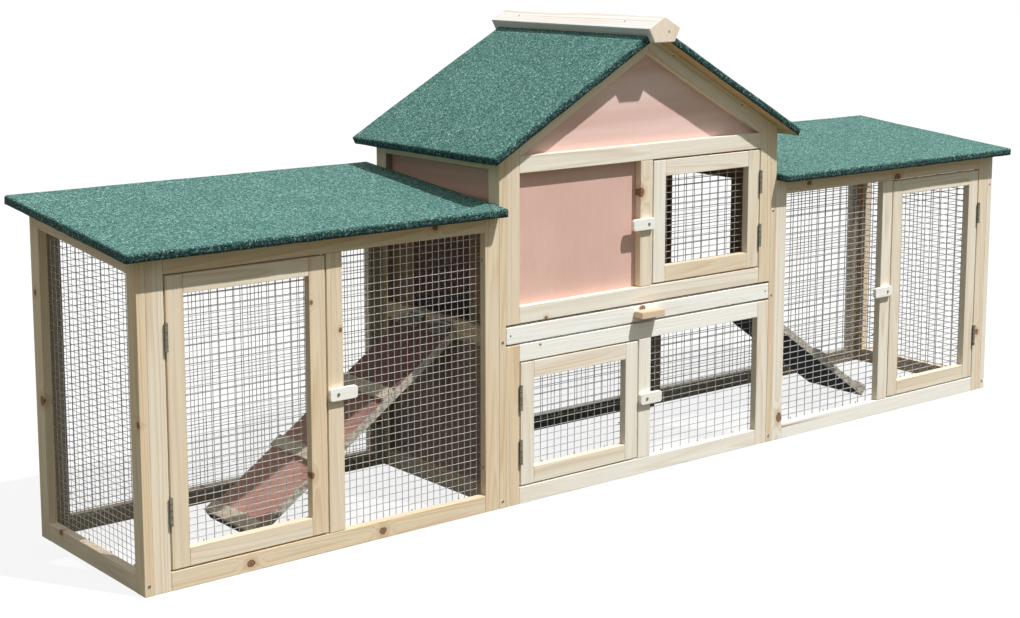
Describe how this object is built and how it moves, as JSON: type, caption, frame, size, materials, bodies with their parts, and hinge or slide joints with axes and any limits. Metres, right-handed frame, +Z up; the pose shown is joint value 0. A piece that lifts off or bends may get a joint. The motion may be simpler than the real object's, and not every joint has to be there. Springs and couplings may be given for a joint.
{
  "type": "outdoor rabbit hutch",
  "caption": "Timber rabbit hutch: a two-storey house with a pitched felt roof, pull-out tray and meshed doors, between two meshed ground runs with ramps.",
  "frame": {"origin": "on the floor under the middle of the hutch", "axes": "+X along the hutch, to the right seen from the front; -Y towards the front; +Z up"},
  "size_m": [2.09, 0.446, 0.8401],
  "materials": {
    "fir_timber": "planed fir with fine grain and small knots",
    "white_wood": "planed pale softwood",
    "handle_wood": "planed brown softwood",
    "roof_board_wood": "sawn softwood board",
    "pink_ply": "thin plywood with a pink stain",
    "ramp_ply": "plywood with a red-brown stain",
    "cleat_wood": "sawn pale softwood",
    "roof_felt": "green mineral-faced bitumen felt",
    "mesh_wire": "galvanised welded wire",
    "hinge_steel": "zinc-plated pressed steel",
    "screw_steel": "zinc-plated steel",
    "tray_steel": "galvanised sheet steel"
  },
  "bodies": {
    "frame": {"left_run_front_frame": "fir_timber", "left_run_window_mesh": "mesh_wire", "left_run_back_frame": "fir_timber", "left_run_back_mesh": "mesh_wire", "left_end_frame": "fir_timber", "left_end_mesh": "mesh_wire", "left_run_roof_board": "roof_board_wood", "left_run_roof_felt": "roof_felt", "right_run_front_frame": "fir_timber", "right_run_window_mesh": "mesh_wire", "right_run_back_frame": "fir_timber", "right_run_back_mesh": "mesh_wire", "right_end_frame": "fir_timber", "right_end_mesh": "mesh_wire", "right_run_roof_board": "roof_board_wood", "right_run_roof_felt": "roof_felt", "house_left_side_frame": "fir_timber", "house_left_side_boards": "pink_ply", "house_right_side_frame": "fir_timber", "house_right_side_board": "pink_ply", "house_lower_front_frame": "fir_timber", "house_lower_window_mesh": "mesh_wire", "house_upper_front_frame": "fir_timber", "house_front_boards": "pink_ply", "house_back_frame": "fir_timber", "house_back_mesh": "mesh_wire", "house_back_board": "pink_ply", "house_roof_boards": "roof_board_wood", "house_roof_felts": "roof_felt", "ridge_beam": "white_wood", "tray_runners": "fir_timber", "fixed_hinge_leaves": "hinge_steel", "hinge_pins": "hinge_steel", "button_screws": "screw_steel"},
    "left_run_door": {"left_run_door_frame": "fir_timber", "left_run_door_mesh": "mesh_wire", "left_run_door_hinge_leaves": "hinge_steel"},
    "right_run_door": {"right_run_door_frame": "fir_timber", "right_run_door_mesh": "mesh_wire", "right_run_door_hinge_leaves": "hinge_steel"},
    "house_lower_door": {"house_lower_door_frame": "fir_timber", "house_lower_door_mesh": "mesh_wire", "house_lower_door_hinge_leaves": "hinge_steel"},
    "house_upper_door": {"house_upper_door_frame": "fir_timber", "house_upper_door_mesh": "mesh_wire", "house_upper_door_hinge_leaves": "hinge_steel"},
    "left_run_button": {"left_run_button": "white_wood"},
    "right_run_button": {"right_run_button": "white_wood"},
    "house_lower_button": {"house_lower_button": "white_wood"},
    "house_upper_button": {"house_upper_button": "white_wood"},
    "tray": {"tray_front": "white_wood", "tray_pan": "tray_steel", "tray_handle": "handle_wood"},
    "left_ramp": {"left_ramp_board": "ramp_ply", "left_ramp_cleats": "cleat_wood", "left_ramp_hinge_leaves": "hinge_steel"},
    "right_ramp": {"right_ramp_board": "ramp_ply", "right_ramp_cleats": "cleat_wood", "right_ramp_hinge_leaves": "hinge_steel"}
  },
  "joints": [
    {"name": "left_run_door_swing", "type": "hinge", "parent": "frame", "child": "left_run_door", "pos_m": [-0.97075, -0.18395, 0.2585], "axis": [0, 0, -1], "range_deg": [0, 165]},
    {"name": "right_run_door_swing", "type": "hinge", "parent": "frame", "child": "right_run_door", "pos_m": [0.97075, -0.18395, 0.2585], "axis": [0, 0, 1], "range_deg": [0, 165]},
    {"name": "house_lower_door_swing", "type": "hinge", "parent": "frame", "child": "house_lower_door", "pos_m": [-0.29375, -0.18395, 0.142], "axis": [0, 0, -1], "range_deg": [0, 165]},
    {"name": "house_upper_door_swing", "type": "hinge", "parent": "frame", "child": "house_upper_door", "pos_m": [0.29375, -0.18395, 0.466], "axis": [0, 0, 1], "range_deg": [0, 130]},
    {"name": "left_run_button_turn", "type": "hinge", "parent": "frame", "child": "left_run_button", "pos_m": [-0.672, -0.181, 0.2585], "axis": [0, -1, 0], "range_deg": [0, 180]},
    {"name": "right_run_button_turn", "type": "hinge", "parent": "frame", "child": "right_run_button", "pos_m": [0.672, -0.181, 0.2585], "axis": [0, -1, 0], "range_deg": [0, 180]},
    {"name": "house_lower_button_turn", "type": "hinge", "parent": "frame", "child": "house_lower_button", "pos_m": [0, -0.181, 0.142], "axis": [0, -1, 0], "range_deg": [0, 180]},
    {"name": "house_upper_button_turn", "type": "hinge", "parent": "frame", "child": "house_upper_button", "pos_m": [0, -0.181, 0.466], "axis": [0, -1, 0], "range_deg": [0, 180]},
    {"name": "tray_slide", "type": "slide", "parent": "frame", "child": "tray", "axis": [0, -1, 0], "range_m": [0, 0.28]},
    {"name": "left_ramp_lift", "type": "hinge", "parent": "frame", "child": "left_ramp", "pos_m": [-0.343, 0, 0.304], "axis": [0, 1, 0], "range_deg": [0, 55]},
    {"name": "right_ramp_lift", "type": "hinge", "parent": "frame", "child": "right_ramp", "pos_m": [0.343, 0, 0.304], "axis": [0, -1, 0], "range_deg": [0, 55]}
  ]
}
